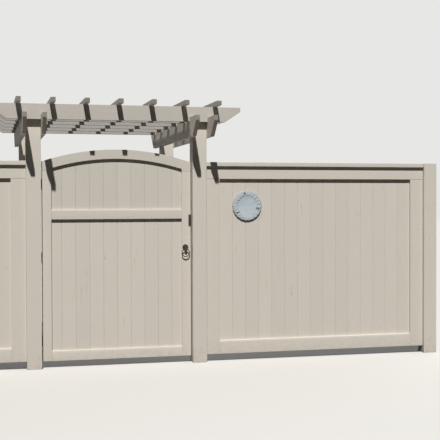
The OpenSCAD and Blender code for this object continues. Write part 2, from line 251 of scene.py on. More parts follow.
# %% Backdrop and light
BACKDROP, FILL = (0.80, 0.80, 0.79, 1), (0.97, 0.98, 1.0, 1)
FILL_SIDE, FILL_START, FILL_FULL = (0.69, 0.69, 0.22), 0.70, 0.98
WEAK_FILL, STRONG_FILL = 0.03, 3.0
TO_LAMP = Vector((-0.262, -1.0, 1.636)).normalized()
LAMP_STRENGTH, LAMP_WIDTH, LAMP_COLOUR = 5.45, math.radians(1.1), (1.0, 0.975, 0.93)

scene.view_settings.view_transform = "Standard"
world = scene.world or bpy.data.worlds.new("world")
scene.world = world
world.use_nodes = True
sky = world.node_tree
shown = background_rays(sky)
outward = shown.node("TexCoord", {}, {}, 0)
near_side = outward.maths("DOT_PRODUCT", outward, FILL_SIDE)
strength = near_side.ramp(FILL_START, FILL_FULL, WEAK_FILL, STRONG_FILL)
fill = sky.nodes["Background"]
fill.inputs["Color"].default_value = FILL
sky.links.new(strength.socket, fill.inputs["Strength"])
pale = shown.node("Background", {}, {"Color": BACKDROP, "Strength": 1.0})
both = shown.node("MixShader", {}, [shown, Wire(sky, fill.outputs[0]), pale])
sky.links.new(both.socket, sky.nodes["World Output"].inputs["Surface"])

lamp = bpy.data.objects.new("key_lamp", bpy.data.lights.new("key_lamp", "SUN"))
lamp.data.energy = LAMP_STRENGTH
lamp.data.angle = LAMP_WIDTH
lamp.data.color = LAMP_COLOUR
lamp.rotation_mode = "QUATERNION"
lamp.rotation_quaternion = TO_LAMP.to_track_quat("Z", "Y")
scene.collection.objects.link(lamp)
print("lamp towards", [round(v, 2) for v in TO_LAMP])

# %% [markdown]
# ## Taupe paint on timber
#
# The paint is thin and matt, so the wood still speaks through it: raised grain and brush marks
# run along each timber, knots have bled through as faint warm spots, and fine drying cracks
# open here and there. Rain throws soil up the lowest quarter of a metre, and a little algae
# grows on faces that look up. Edges wear first, and end grain drinks the paint and turns darker.
#
# Grain, knots and cracks are stretched along the timber, so there is one material for each of the
# three directions in which timber runs. They differ in that axis and in nothing else. Meshes store
# three numbers on each face: `tone`, which differs from board to board, `edge`, which is 1 on
# rounded edges, and a third, which says how much darker and greyer the paint is made. On the
# joists and the rear beam, deep in the arbor, that darkening is painted shade.

# %% Taupe paint on timber
TAUPE = (0.570, 0.536, 0.486)
GREY_AND_SHADE_TINT = (0.784, 0.795, 0.817)
KNOT_STAIN, WARM_STAIN, ALGAE = (0.52, 0.43, 0.30, 1), (0.60, 0.52, 0.45, 1), (0.40, 0.39, 0.31, 1)
SOIL, END_GRAIN = (0.27, 0.23, 0.16, 1), (0.155, 0.145, 0.13, 1)
BARE_WOOD, CRACK_DARK = (0.40, 0.32, 0.235, 1), (0.13, 0.115, 0.095, 1)
SPLASH_HEIGHT = 0.26


def timber_paint(name, grain):
    """Matt taupe paint over wood whose grain runs along one axis."""
    material, shader, place, facing = start_material(name, TAUPE, 0.66)
    tone, edge, grey_and_shade = note(place, "tone"), note(place, "edge"), note(place, "grey_and_shade")
    shader.inputs["Specular IOR Level"].default_value = 0.2

    def across_grain(long_way):
        """A vector that is shorter along the grain, so that what is made from it is longer."""
        return tuple(long_way if i == grain else 1.0 for i in range(3))

    shifted = place + tone * (7.0, 11.0, 5.0)
    stretched = shifted * across_grain(0.035)
    lines = stretched.noise(150, 3, 0.6)
    brush = stretched.noise(900, 2, 0.5)
    cloud = shifted.noise(3.1, 3, 0.55)
    patch = shifted.noise(17, 2, 0.5)

    # A knot is a spot where a cell of a stretched Voronoi pattern comes close to the surface
    spots = shifted * across_grain(0.3)
    cells = spots.node("TexVoronoi", {}, {"Vector": spots, "Scale": 6.5, "Randomness": 1.0})
    knot = cells.ramp(0.05, 0.10, 1.0, 0.0)

    # A crack is the thin line where a stretched noise passes through its middle value
    thread = abs(stretched.noise(34, 1, 0.4) - 0.5)
    crack = thread.ramp(0.0, 0.006, 1.0, 0.0) * cloud.ramp(0.56, 0.66)

    splash = place.upward().ramp(0.0, SPLASH_HEIGHT, 1.0, 0.0)
    splash = splash * shifted.noise(26, 4, 0.65).ramp(0.38, 0.66)
    top = facing.upward().ramp(0.75, 0.95)
    along = tuple(1.0 if i == grain else 0.0 for i in range(3))
    end = abs(facing.maths("DOT_PRODUCT", facing, along)).ramp(0.75, 0.9)
    rings = shifted.node("TexWave", {"wave_type": "RINGS", "rings_direction": "XYZ"[grain]},
                         {"Vector": shifted, "Scale": 42.0, "Distortion": 3.0, "Detail": 2.0,
                          "Detail Scale": 0.4}, 1)
    worn = edge * patch.ramp(0.52, 0.68) * shifted.noise(90, 2, 0.6).ramp(0.42, 0.6)

    shade = 1 + (cloud - 0.5) * 0.06 + (lines - 0.5) * 0.06 + (brush - 0.5) * 0.03 + tone * 0.02
    # Some timbers are painted darker and greyer; on the joists and the rear beam this is painted
    # shade
    greyed = place.maths("ADD", (1.0, 1.0, 1.0), grey_and_shade * tuple(v - 1 for v in GREY_AND_SHADE_TINT))
    colour = place.maths("MULTIPLY", TAUPE, greyed) * shade
    for stain, share in ((KNOT_STAIN, knot * 0.30),
                         (WARM_STAIN, patch.ramp(0.6, 0.8) * 0.14),
                         (ALGAE, top * cloud.ramp(0.42, 0.62) * 0.34),
                         (SOIL, splash * 0.2),
                         (END_GRAIN, end * (0.62 + rings * 0.30)),
                         (BARE_WOOD, worn * 0.62),
                         (CRACK_DARK, crack * (1 - end) * 0.55)):
        colour = colour.blend(stain, share)

    roughness = 0.64 + (patch - 0.5) * 0.16 + end * 0.14 + splash * 0.1
    height = lines * 0.75 + brush * 0.22 + knot * 0.5 - crack * 1.3 - worn * 0.5 + end * rings * 0.5
    surface(shader, (height, 0.0009, 0.42), Base_Color=colour, Roughness=roughness)
    return material


PAINTS = [timber_paint(f"taupe_paint_grain_{'xyz'[i]}", i) for i in range(3)]
print("paints:", ", ".join(paint.name for paint in PAINTS))

# %% [markdown]
# ## Black iron
#
# The ironwork is cast or forged, then painted black. Its skin is slightly dimpled, which breaks
# up the highlight, and rust shows as warm brown where hands and rain have thinned the paint. A
# metallic shader would be wrong here, because what one sees is the paint.

# %% Black iron
IRON, RUST, RUBBED = (0.024, 0.022, 0.020), (0.105, 0.052, 0.028, 1), (0.085, 0.08, 0.075, 1)


def black_iron(name):
    """Black paint over dimpled iron, thinned to rust in places."""
    material, shader, place, _ = start_material(name, IRON, 0.5)
    dimples = place.noise(210, 2, 0.5)
    grit = place.noise(1500, 2, 0.6)
    thin = place.noise(38, 4, 0.6).ramp(0.56, 0.72)
    colour = place.maths("MULTIPLY", IRON, 0.8 + dimples * 0.4)
    colour = colour.blend(RUST, thin * grit.ramp(0.35, 0.6) * 0.5)
    colour = colour.blend(RUBBED, note(place, "edge") * dimples.ramp(0.45, 0.6) * 0.6)
    surface(shader, (dimples * 0.8 + grit * 0.2, 0.0006, 0.55), Base_Color=colour,
            Roughness=0.42 + grit * 0.16 + thin * 0.2)
    return material


IRON_PAINT = black_iron("black_iron_paint")
print("iron:", IRON_PAINT.name)

# %% [markdown]
# ## The plaque's casting
#
# The plaque is a grey-blue casting with a mottled, uneven skin. Its raised parts have bleached
# and the feet of its leaves have kept dirt, so the mesh stores each corner's height, which mixes
# the two colours. The same dark colour is painted into the wreath's gaps and onto the rim, and
# slopes of the relief that face the sky are painted darker. Ambient occlusion could find the
# hollows too, but it has to be worked out again at every render.

# %% The plaque's casting
CAST, GREEN_TINGE, BLEACHED = (0.425, 0.485, 0.54), (0.36, 0.45, 0.46, 1), (0.50, 0.55, 0.60, 1)
HOLLOW_DARK, SKYWARD_DARK = (0.17, 0.185, 0.18, 1), (0.24, 0.27, 0.27, 1)


def plaque_cast(name):
    """A weathered grey-blue casting, bleached on its heights, darker in its hollows and on its rim.
    """
    material, shader, place, facing = start_material(name, CAST, 0.72)
    relief = note(place, "relief")
    cloud, pores = place.noise(32, 4, 0.6), place.noise(520, 3, 0.6)
    hollow = relief.ramp(0.02, 0.2, 0.0, 1.0) * relief.ramp(0.2, 0.5, 1.0, 0.0)
    pit = relief.ramp(-0.7, -0.1, 1.0, 0.0)
    colour = place.maths("MULTIPLY", CAST, 0.76 + cloud * 0.44 + pores * 0.08)
    for stain, share in ((GREEN_TINGE, place.noise(17, 2, 0.5).ramp(0.45, 0.65) * 0.35),
                         (BLEACHED, relief.ramp(0.35, 0.9) * cloud.ramp(0.3, 0.6) * 0.15),
                         # Dirt in the feet of the leaves; the gaps and the rim get the same darker
                         # colour painted on
                         (HOLLOW_DARK, hollow * 0.5 + pit * 0.8),
                         # Slopes of the relief that face the sky are painted darker
                         (SKYWARD_DARK, facing.upward().ramp(0.07, 0.26) * 0.6)):
        colour = colour.blend(stain, share)
    surface(shader, (cloud * 0.8 + pores * 0.2, 0.003, 0.5), Base_Color=colour,
            Roughness=0.66 + pores * 0.18)
    return material


CAST_FINISH = plaque_cast("grey_blue_casting")
print("casting:", CAST_FINISH.name)

# %% [markdown]
# ## How a timber is made
#
# A sawn and planed timber is an outline drawn out along one axis. `drawn_out` makes that solid
# in bmesh and rounds its outer edges by two or three millimetres, because no real edge is
# sharp: the rounding is what catches the light along every rail. It marks the rounded faces, so
# that the paint can wear there. A Bevel modifier would round the edges too, but it could only
# mark them with a material of their own.

# %% How a timber is made
ROUNDING = 0.0022
SHARP_ENOUGH = math.radians(20)


def round_edges(solid, width):
    """Rounds the outward edges and marks the new faces."""
    mark = solid.faces.layers.float["edge"]
    corners = [e for e in solid.edges if len(e.link_faces) == 2 and e.is_convex
               and e.calc_face_angle() > SHARP_ENOUGH]
    made = bmesh.ops.bevel(solid, geom=corners, offset=width, segments=2, profile=0.5,
                           affect="EDGES", clamp_overlap=True)
    for face in made["faces"]:
        face[mark] = 1.0


def drawn_out(outline, axis, start, end, width=ROUNDING):
    """A solid with this outline, in the two other axes, from start to end along the axis."""
    solid = bmesh.new()
    solid.faces.layers.float.new("edge")
    u, v = [i for i in range(3) if i != axis]
    rings = []
    for level in (start, end):
        ring = []
        for point in outline:
            place = [0.0, 0.0, 0.0]
            place[axis], place[u], place[v] = level, point[0], point[1]
            ring.append(solid.verts.new(place))
        rings.append(ring)
    solid.faces.new(rings[0])
    solid.faces.new(rings[1])
    for i in range(len(outline)):
        solid.faces.new((rings[0][i - 1], rings[0][i], rings[1][i], rings[1][i - 1]))
    bmesh.ops.recalc_face_normals(solid, faces=solid.faces)
    if width:
        round_edges(solid, width)
    return solid


def block(low, high, width=ROUNDING):
    """A square-cut timber between two corners, with its outline across its longest side."""
    axis = max(range(3), key=lambda i: high[i] - low[i])
    u, v = [i for i in range(3) if i != axis]
    outline = [(low[u], low[v]), (high[u], low[v]), (high[u], high[v]), (low[u], high[v])]
    return drawn_out(outline, axis, low[axis], high[axis], width)


# %% [markdown]
# ## How solids become a piece
#
# `piece` joins such solids into one object, gives each its own tone, says which CAD body
# carries it, hides the CAD nodes that it stands for, and lets a Weighted Normal modifier keep the
# broad faces flat beside their soft edges. `timber` does so with the paint for its grain, and
# paints some timbers darker and greyer: the arbor's timbers most, and the gate's top a little. On
# the joists and the rear beam, deep in the arbor, that is painted shade. `GREYED` says how far,
# by a word in the piece's name.

# %% How solids become a piece
draw = random.Random(7)
CREASE = math.radians(40)
# How much darker and greyer each timber is painted; on the joists and rear beam it is painted shade
GREYED = {"front_beam": 0.8, "joist": 1.7, "rear_beam": 1.7, "side_board": 0.1, "purlin": 1.2,
          "fence_cap": 0.1, "gate_arch_rail": 0.4, "gate_mid_rail": 0.3, "gate_upper_boards": 0.25}


def piece(name, solids, finish, body, stands_for=(), tones=0.6, grey_and_shade=0.0):
    """Joins solids into one object that rides on a CAD body and stands for its CAD nodes."""
    points, faces, tone, edge = [], [], [], []
    for solid in solids:
        mark = solid.faces.layers.float["edge"]
        solid.verts.index_update()
        shift, own = len(points), draw.uniform(-tones, tones)
        points += [tuple(v.co) for v in solid.verts]
        for face in solid.faces:
            faces.append([shift + v.index for v in face.verts])
            tone.append(own)
            edge.append(face[mark])
        solid.free()
    mesh = bpy.data.meshes.new(name)
    mesh.from_pydata(points, [], faces)
    for label, values in (("tone", tone), ("edge", edge), ("grey_and_shade", [grey_and_shade] * len(faces))):
        mesh.attributes.new(label, "FLOAT", "FACE").data.foreach_set("value", values)
    mesh.shade_smooth()
    mesh.set_sharp_from_angle(angle=CREASE)
    mesh.materials.append(finish)
    made = bpy.data.objects.new(name, mesh)
    scene.collection.objects.link(made)
    normals = made.modifiers.new("even_faces", "WEIGHTED_NORMAL")
    normals.keep_sharp = True
    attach(made, body)
    if stands_for:
        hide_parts(*stands_for)
    return made


def timber(name, solids, grain, body="frame", stands_for=(), tones=0.6):
    """A painted timber piece whose grain runs along the given axis."""
    grey_and_shade = next((share for part, share in GREYED.items() if part in name), 0.0)
    return piece(name, solids, PAINTS[grain], body, stands_for, tones, grey_and_shade)


# %% [markdown]
# ## How a finished timber is cut
#
# A mortise or a bored hole is cut last, as a joiner would cut it. `bored` takes a solid away with
# a Boolean modifier and keeps its result, so that no modifier still points at the cutter. The
# hole could be part of the outline, but only where it runs the same way as the timber.

# %% How a finished timber is cut
def bored(made, cutter):
    """Cuts a solid out of a finished piece, and keeps its marks."""
    mesh = bpy.data.meshes.new("cutter")
    cutter.to_mesh(mesh)
    cutter.free()
    tool = bpy.data.objects.new("cutter", mesh)
    scene.collection.objects.link(tool)
    even = made.modifiers["even_faces"]
    even.show_viewport = False
    step = made.modifiers.new("cut", "BOOLEAN")
    step.object, step.operation, step.solver = tool, "DIFFERENCE", "EXACT"
    bpy.context.view_layer.update()
    graph = bpy.context.evaluated_depsgraph_get()
    made.data = bpy.data.meshes.new_from_object(
        made.evaluated_get(graph), preserve_all_data_layers=True, depsgraph=graph)
    made.modifiers.remove(step)
    bpy.data.objects.remove(tool)
    even.show_viewport = True


# %% [markdown]
# ## Posts
#
# The four arbor posts and the two end posts of the fence are 140 mm square timbers with a
# generous rounding. The front right post has a notch at its back for the latch bar, lined by
# the keeper. The notch is open to the gate and to the back, so its cutter reaches past both.

# %% Posts
POST_ROUNDING, CUT_PAST = 0.0035, 0.02
for node in ("front_left_post", "front_right_post", "rear_left_post", "rear_right_post",
             "left_end_post", "right_end_post"):
    low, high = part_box(node)
    post = timber(f"{node}_timber", [block(low, high, POST_ROUNDING)], 2, stands_for=[node])
    if node == "front_right_post":
        keeper_low, keeper_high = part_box("latch_keeper")
        bored(post, block(keeper_low - Vector((CUT_PAST, 0, 0)),
                          keeper_high + Vector((0, CUT_PAST, 0)), 0))
    print(node, "is", [round(v, 3) for v in high - low])

# %% [markdown]
# ## Beams, joists and side boards
#
# Two deep boards on edge are the arbor's front and rear beams, and four joists like them lie
# between. Their lower corners are cut back at a slant behind a square nose. They are notched
# from below and sit down over four side boards, which run from front to back along the faces of
# the posts and have the same nose. Each outline follows the CAD box of its node, so a beam only
# needs the size of its nose, its cut and its notches.

# %% Beams, joists and side boards
NOSE, SIDE_NOSE, CUT, NOTCH_PLAY = 0.042, 0.050, 0.155, 0.0005
SIDE_BOARDS = ["left_outer_side_board", "left_inner_side_board",
               "right_inner_side_board", "right_outer_side_board"]
CROSS_TIMBERS = ["front_beam", "joist_1", "joist_2", "joist_3", "joist_4", "rear_beam"]
notch_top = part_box(SIDE_BOARDS[0])[1].z
notches = [(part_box(n)[0].x - NOTCH_PLAY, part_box(n)[1].x + NOTCH_PLAY) for n in SIDE_BOARDS]


def nosed(start, end, foot, top, nose, gaps=()):
    """The outline of a timber on edge, with a slant behind each nose and gaps in its foot."""
    outline = [(start, top), (start, top - nose), (start + CUT, foot)]
    for low, high in gaps:
        outline += [(low, foot), (low, notch_top), (high, notch_top), (high, foot)]
    return outline + [(end - CUT, foot), (end, top - nose), (end, top)]


for node in CROSS_TIMBERS:
    low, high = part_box(node)
    outline = nosed(low.x, high.x, low.z, high.z, NOSE, notches)
    timber(f"{node}_timber", [drawn_out(outline, 1, low.y, high.y)], 0, stands_for=[node])
for node in SIDE_BOARDS:
    low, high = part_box(node)
    outline = nosed(low.y, high.y, low.z, high.z, SIDE_NOSE)
    timber(f"{node}_timber", [drawn_out(outline, 0, low.x, high.x)], 1, stands_for=[node])
print(len(CROSS_TIMBERS), "cross timbers over", len(SIDE_BOARDS), "side boards")

# %% [markdown]
# ## Purlins
#
# Seven square purlins lie on top and run from front to back. An Array modifier would repeat one
# purlin, but each has its own place in the CAD part and should have its own grain.

# %% Purlins
PURLINS, PURLIN_ROUNDING = [f"purlin_{i}" for i in range(1, 8)], 0.0018
for node in PURLINS:
    timber(f"{node}_timber", [block(*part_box(node), PURLIN_ROUNDING)], 1, stands_for=[node])
print(len(PURLINS), "purlins")

# %% [markdown]
# ## Boards with tongues and grooves
#
# The fence and the gate are filled with upright boards. Each has a tongue on one edge that
# slides into a groove in its neighbour, so that no daylight shows when the wood shrinks, and
# its four long edges are planed off at a slant. Two such slants meet in the V groove that
# draws a fine line down the gate.
#
# A row of boards could be one solid with grooves cut in. Separate boards cost little more, and
# then each can have its own tone and grain, and the joint has a real gap at its bottom.

# %% Boards with tongues and grooves
SLANT, GAP = 0.0025, 0.0002
TONGUE, TONGUE_HALF = 0.006, 0.003
GROOVE, GROOVE_HALF = 0.0065, 0.0035


def board(start, end, front, back, foot, top, first=False, last=False):
    """One upright board from start to end along X; top is a height, or gives it for each X."""
    left, right = start + GAP, end - GAP
    near, far, middle = front + SLANT, back - SLANT, (front + back) / 2
    outline = [(start, front)] if first else [(left, near), (left + SLANT, front)]
    if last:
        outline += [(end, front), (end, back)]
    else:
        outline += [(end - SLANT, front), (right, near),
                    (right, middle - TONGUE_HALF), (end + TONGUE, middle - TONGUE_HALF),
                    (end + TONGUE, middle + TONGUE_HALF), (right, middle + TONGUE_HALF),
                    (right, far), (end - SLANT, back)]
    if first:
        outline += [(start, back)]
    else:
        outline += [(left + SLANT, back), (left, far),
                    (left, middle + GROOVE_HALF), (left + GROOVE, middle + GROOVE_HALF),
                    (left + GROOVE, middle - GROOVE_HALF), (left, middle - GROOVE_HALF)]
    # It is drawn a metre high, and then its upper corners go to their own heights
    made = drawn_out(outline, 2, foot, foot + 1.0, 0)
    for corner in made.verts:
        if corner.co.z > foot + 0.5:
            corner.co.z = top(corner.co.x) if callable(top) else top
    return made


def row_of_boards(start, end, joints, front, back, foot, top):
    """Boards from start to end that meet at the given joints."""
    edges = [start, *joints, end]
    return [board(a, b, front, back, foot, top, first=(i == 0), last=(i == len(edges) - 2))
            for i, (a, b) in enumerate(zip(edges, edges[1:]))]


# %% [markdown]
# ## Fence bays
#
# Each bay is a frame that holds fifteen boards. The top rail lies on both stiles, the bottom
# rail stands between them, and its upper edges slope, so that rain runs off. A flat cap lies on
# the frame and reaches over it on both faces, which gives the dark line under it. Each stile has
# shrunk a little and left a fine gap under the top rail. The left bay mirrors the right one, and
# is built in the same way rather than with a Mirror modifier, so that its boards differ.

# %% Fence bays
FENCE_STILE, FENCE_RAIL, FENCE_HEAD, FENCE_BOARD = 0.139, 0.132, 0.124, 0.136
BOARD, HOLD, SLOPE_HEIGHT, SLOPE_DEPTH = 0.018, 0.010, 0.021, 0.0045
SHRUNK, CAP_ROUNDING = 0.0015, 0.004

for node in ("left_fence_panel", "right_fence_panel"):
    low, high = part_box(node)
    inner, outer = low.x + FENCE_STILE, high.x - FENCE_STILE
    front, back, foot, top = low.y, high.y, low.z, high.z
    head_foot, rail_top, middle = top - FENCE_HEAD, foot + FENCE_RAIL, (front + back) / 2
    stiles = [block((low.x, front, foot), (inner, back, head_foot - SHRUNK)),
              block((outer, front, foot), (high.x, back, head_foot - SHRUNK))]
    section = [(front, foot), (back, foot), (back, rail_top - SLOPE_HEIGHT),
               (back - SLOPE_DEPTH, rail_top), (front + SLOPE_DEPTH, rail_top),
               (front, rail_top - SLOPE_HEIGHT)]
    rails = [drawn_out(section, 0, inner, outer),
             block((low.x, front, head_foot), (high.x, back, top))]
    joints = [inner + i * FENCE_BOARD for i in range(1, round((outer - inner) / FENCE_BOARD))]
    boards = row_of_boards(inner - HOLD, outer + HOLD, joints, middle - BOARD / 2,
                           middle + BOARD / 2, rail_top - HOLD, head_foot + HOLD)
    cap = node.replace("panel", "cap")
    timber(f"{node}_stiles", stiles, 2, stands_for=[node])
    timber(f"{node}_rails", rails, 0, stands_for=[node])
    timber(f"{node}_boards", boards, 2, stands_for=[node], tones=1.0)
    timber(f"{cap}_board", [block(*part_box(cap), CAP_ROUNDING)], 0, stands_for=[cap])
    print(node, "has", len(boards), "boards")

# %% [markdown]
# ## Gate stiles and rails
#
# The gate is framed like a door. Two stiles carry a bottom rail, a middle rail and an arched
# rail on top, and all have a groove that holds the boards. The groove could be cut with a
# Boolean, but as part of each outline it stays exact. A hole for the spindle of the ring is
# bored through the latch stile.

# %% Gate stiles and rails
hinge_low, hinge_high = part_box("gate_hinge_stile")
latch_low, latch_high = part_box("gate_latch_stile")
FACE, REAR = hinge_low.y, hinge_high.y
HALF, CLEAR = latch_high.x, latch_low.x
HOUSING = 0.012
BOARD_FRONT, BOARD_BACK = (FACE + REAR - BOARD) / 2, (FACE + REAR + BOARD) / 2


def upright_stile(low, high):
    """A stile with the board groove in its inner edge, which faces the middle of the gate."""
    inner = low.x if low.x > 0 else high.x
    outer = high.x if low.x > 0 else low.x
    deep = inner + math.copysign(HOUSING, inner)
    outline = [(outer, low.y), (inner, low.y), (inner, BOARD_FRONT), (deep, BOARD_FRONT),
               (deep, BOARD_BACK), (inner, BOARD_BACK), (inner, high.y), (outer, high.y)]
    return drawn_out(outline, 2, low.z, high.z)


def gate_rail(low, high, foot_groove):
    """A rail with a slope on both upper edges and a board groove in its top, and maybe its foot."""
    foot, top = low.z, high.z
    outline = [(FACE, foot), (FACE, top - SLOPE_HEIGHT), (FACE + SLOPE_DEPTH, top),
               (BOARD_FRONT, top), (BOARD_FRONT, top - HOUSING), (BOARD_BACK, top - HOUSING),
               (BOARD_BACK, top), (REAR - SLOPE_DEPTH, top), (REAR, top - SLOPE_HEIGHT),
               (REAR, foot)]
    if foot_groove:
        outline += [(BOARD_BACK, foot), (BOARD_BACK, foot + HOUSING),
                    (BOARD_FRONT, foot + HOUSING), (BOARD_FRONT, foot)]
    return drawn_out(outline, 0, low.x, high.x)


timber("gate_hinge_stile_timber", [upright_stile(hinge_low, hinge_high)], 2, "gate",
       ["gate_hinge_stile"])
latch_stile = timber("gate_latch_stile_timber", [upright_stile(latch_low, latch_high)], 2, "gate",
                     ["gate_latch_stile"])
for node in ("gate_mid_rail", "gate_bottom_rail"):
    rail = gate_rail(*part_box(node), node == "gate_mid_rail")
    timber(f"{node}_timber", [rail], 0, "gate", [node])

BACKSET, SPINDLE_HEIGHT, BORE_RADIUS, BORE_DEPTH = 0.054, 1.133, 0.006, 0.1
SPINDLE = Vector((HALF - BACKSET, FACE, SPINDLE_HEIGHT))
bore = bmesh.new()
bmesh.ops.create_cone(bore, cap_ends=True, segments=32, radius1=BORE_RADIUS, radius2=BORE_RADIUS,
                      depth=BORE_DEPTH,
                      matrix=Matrix.Translation((SPINDLE.x, (FACE + REAR) / 2, SPINDLE.z))
                      @ Matrix.Rotation(math.pi / 2, 4, "X"))
bored(latch_stile, bore)
print("gate", round(2 * HALF, 3), "wide, spindle at", round(SPINDLE_HEIGHT, 3))

# %% [markdown]
# ## Arched rail
#
# The arched rail is sawn from wide stock: its outside and inside are arcs about one centre, and
# its feet stand on the stiles. A curve object could carry the section along the arch, but it
# would turn the section with it. Here the section's corners each follow their own arc, so the
# feet stay square on the stiles.

# %% Arched rail
ARCH_RISE, ARCH_RAIL = 0.118, 0.090
arch_low, arch_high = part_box("gate_arch_rail")
ARCH_RADIUS = (HALF ** 2 + ARCH_RISE ** 2) / (2 * ARCH_RISE)
ARCH_CENTRE = arch_high.z - ARCH_RADIUS


def arc(radius, x):
    """The height of an arc of the gate's arch at this X."""
    return ARCH_CENTRE + math.sqrt(radius ** 2 - x ** 2)


def arched_rail(steps=64):
    """Draws the rail's section along the arch, foot to foot."""
    solid = bmesh.new()
    solid.faces.layers.float.new("edge")
    paths = []
    for half, radius in ((HALF, ARCH_RADIUS), (CLEAR, ARCH_RADIUS - ARCH_RAIL),
                         (CLEAR + HOUSING, ARCH_RADIUS - ARCH_RAIL + HOUSING)):
        xs = [half * (2 * i / steps - 1) for i in range(steps + 1)]
        paths.append([(-half, arch_low.z), *[(x, arc(radius, x)) for x in xs], (half, arch_low.z)])
    rings = []
    for o, i, g in zip(*paths):
        section = [(o, FACE), (o, REAR), (i, REAR), (i, BOARD_BACK), (g, BOARD_BACK),
                   (g, BOARD_FRONT), (i, BOARD_FRONT), (i, FACE)]
        rings.append([solid.verts.new((p[0], y, p[1])) for p, y in section])
    for one, two in zip(rings, rings[1:]):
        for k in range(len(one)):
            solid.faces.new((one[k - 1], one[k], two[k], two[k - 1]))
    solid.faces.new(rings[0])
    solid.faces.new(rings[-1])
    bmesh.ops.recalc_face_normals(solid, faces=solid.faces)
    round_edges(solid, ROUNDING)
    return solid


timber("gate_arch_rail_timber", [arched_rail()], 0, "gate", ["gate_arch_rail"])
print("arch", round(arch_high.z, 3), "high, radius", round(ARCH_RADIUS, 3))

# %% [markdown]
# ## Gate boards
#
# Ten boards fill the gate's width, above and below the middle rail. The upper ones are cut to
# the arch, a centimetre up in the arched rail's groove.

# %% Gate boards
GATE_BOARD = 0.1335
gate_joints = [i * GATE_BOARD for i in range(-4, 5)]


def under_arch(x):
    """How high an upper board reaches at this X."""
    return arc(ARCH_RADIUS - ARCH_RAIL + HOLD, x)


for node in ("gate_lower_boards", "gate_upper_boards"):
    low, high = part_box(node)
    top = under_arch if node == "gate_upper_boards" else high.z
    boards = row_of_boards(low.x, high.x, gate_joints, low.y, high.y, low.z, top)
    timber(f"{node}_timber", boards, 2, "gate", [node], tones=1.0)
    print(node, "has", len(boards), "boards")

# %% [markdown]
# ## Screws in the timber
#
# A slotted screw head is two half discs with a narrow gap between them, on a lower disc that
# is the bottom of the slot. A bump texture could draw the slot, but the real gap holds a
# shadow. These heads are painted over with the timber. They hold the purlins down, and the
# beams and side boards to the posts. A screw's size is its head's radius, and how far the head
# stands out.

# %% Screws in the timber
SLOT, SLOT_DISC, SLOT_FLOOR, SUNK, SOFTENED = 0.13, 0.98, 0.0001, -0.001, 0.07
HALF_STEPS, DISC_STEPS = 10, 16


def screw(place, out, size, most_turn=math.pi):
    """The solids of a slotted head at a place, facing out, with its slot turned at random."""
    radius, proud = size
    turn = draw.uniform(0, most_turn)
    aim = Vector(out).to_track_quat("Z", "Y").to_matrix().to_4x4()
    stand = Matrix.Translation(place) @ aim @ Matrix.Rotation(turn, 4, "Z")
    start = math.asin(SLOT)
    solids = []
    for flip in (1, -1):
        angles = [start + (math.pi - 2 * start) * i / HALF_STEPS for i in range(HALF_STEPS + 1)]
        half = [(flip * radius * math.cos(a), flip * radius * math.sin(a)) for a in angles]
        solids.append(drawn_out(half, 2, SUNK, proud, radius * SOFTENED))
    reach, angles = radius * SLOT_DISC, [math.tau * i / DISC_STEPS for i in range(DISC_STEPS)]
    disc = [(reach * math.cos(a), reach * math.sin(a)) for a in angles]
    solids.append(drawn_out(disc, 2, SUNK, SLOT_FLOOR, 0))
    for solid in solids:
        bmesh.ops.transform(solid, matrix=stand, verts=solid.verts)
    return solids


PURLIN_SCREW, BEAM_SCREW, SIDE_SCREW = (0.0045, 0.0006), (0.0055, 0.0006), (0.0065, 0.0012)
BEAM_SCREW_SIDES, BEAM_SCREW_RISES = (-0.035, 0.035), (0.045, 0.1)
SIDE_SCREW_SIDES, SIDE_SCREW_HEIGHTS = (-0.032, 0.032), (2.25, 2.325)
post_low, post_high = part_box("rear_right_post")
POST_X, POST_Y = (post_low.x + post_high.x) / 2, (post_low.y + post_high.y) / 2
painted_heads = []
for node in CROSS_TIMBERS:
    low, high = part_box(node)
    for purlin in PURLINS:
        a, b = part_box(purlin)
        painted_heads += screw(((a.x + b.x) / 2, (low.y + high.y) / 2, b.z), (0, 0, 1),
                               PURLIN_SCREW)
front_low, rear_low, rear_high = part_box("front_beam")[0], *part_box("rear_beam")
for x in (-POST_X, POST_X):
    for dx in BEAM_SCREW_SIDES:
        for dz in BEAM_SCREW_RISES:
            for y, foot, out in ((front_low.y, front_low.z, -1), (rear_high.y, rear_low.z, 1)):
                painted_heads += screw((x + dx, y, foot + dz), (0, out, 0), BEAM_SCREW)
for node in SIDE_BOARDS:
    low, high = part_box(node)
    out = -1 if node in ("left_outer_side_board", "right_inner_side_board") else 1
    for y in (-POST_Y, POST_Y):
        for dy in SIDE_SCREW_SIDES:
            for z in SIDE_SCREW_HEIGHTS:
                painted_heads += screw((low.x if out < 0 else high.x, y + dy, z), (out, 0, 0),
                                       SIDE_SCREW)
timber("painted_screws", painted_heads, 2, tones=0.2)
print(len(painted_heads) // 3, "painted screws")

# %% [markdown]
# ## Hinges, roses, boss and latch
#
# The hinge leaves, the roses, the boss on its spindle, the latch bar and the keeper have their
# real shapes in the CAD part already, so they stay and only get the iron's finish. The screws
# are added to them: three in each hinge leaf, four in the front rose and three in the plate.

# %% Hinges, roses, boss and latch
for node in ("gate_hinge_leaves", "post_hinge_leaves", "handle_roses", "guard_plate",
             "latch_keeper", "handle_spindle", "latch_bar"):
    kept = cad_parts[node]
    kept.data.materials.clear()
    kept.data.materials.append(IRON_PAINT)

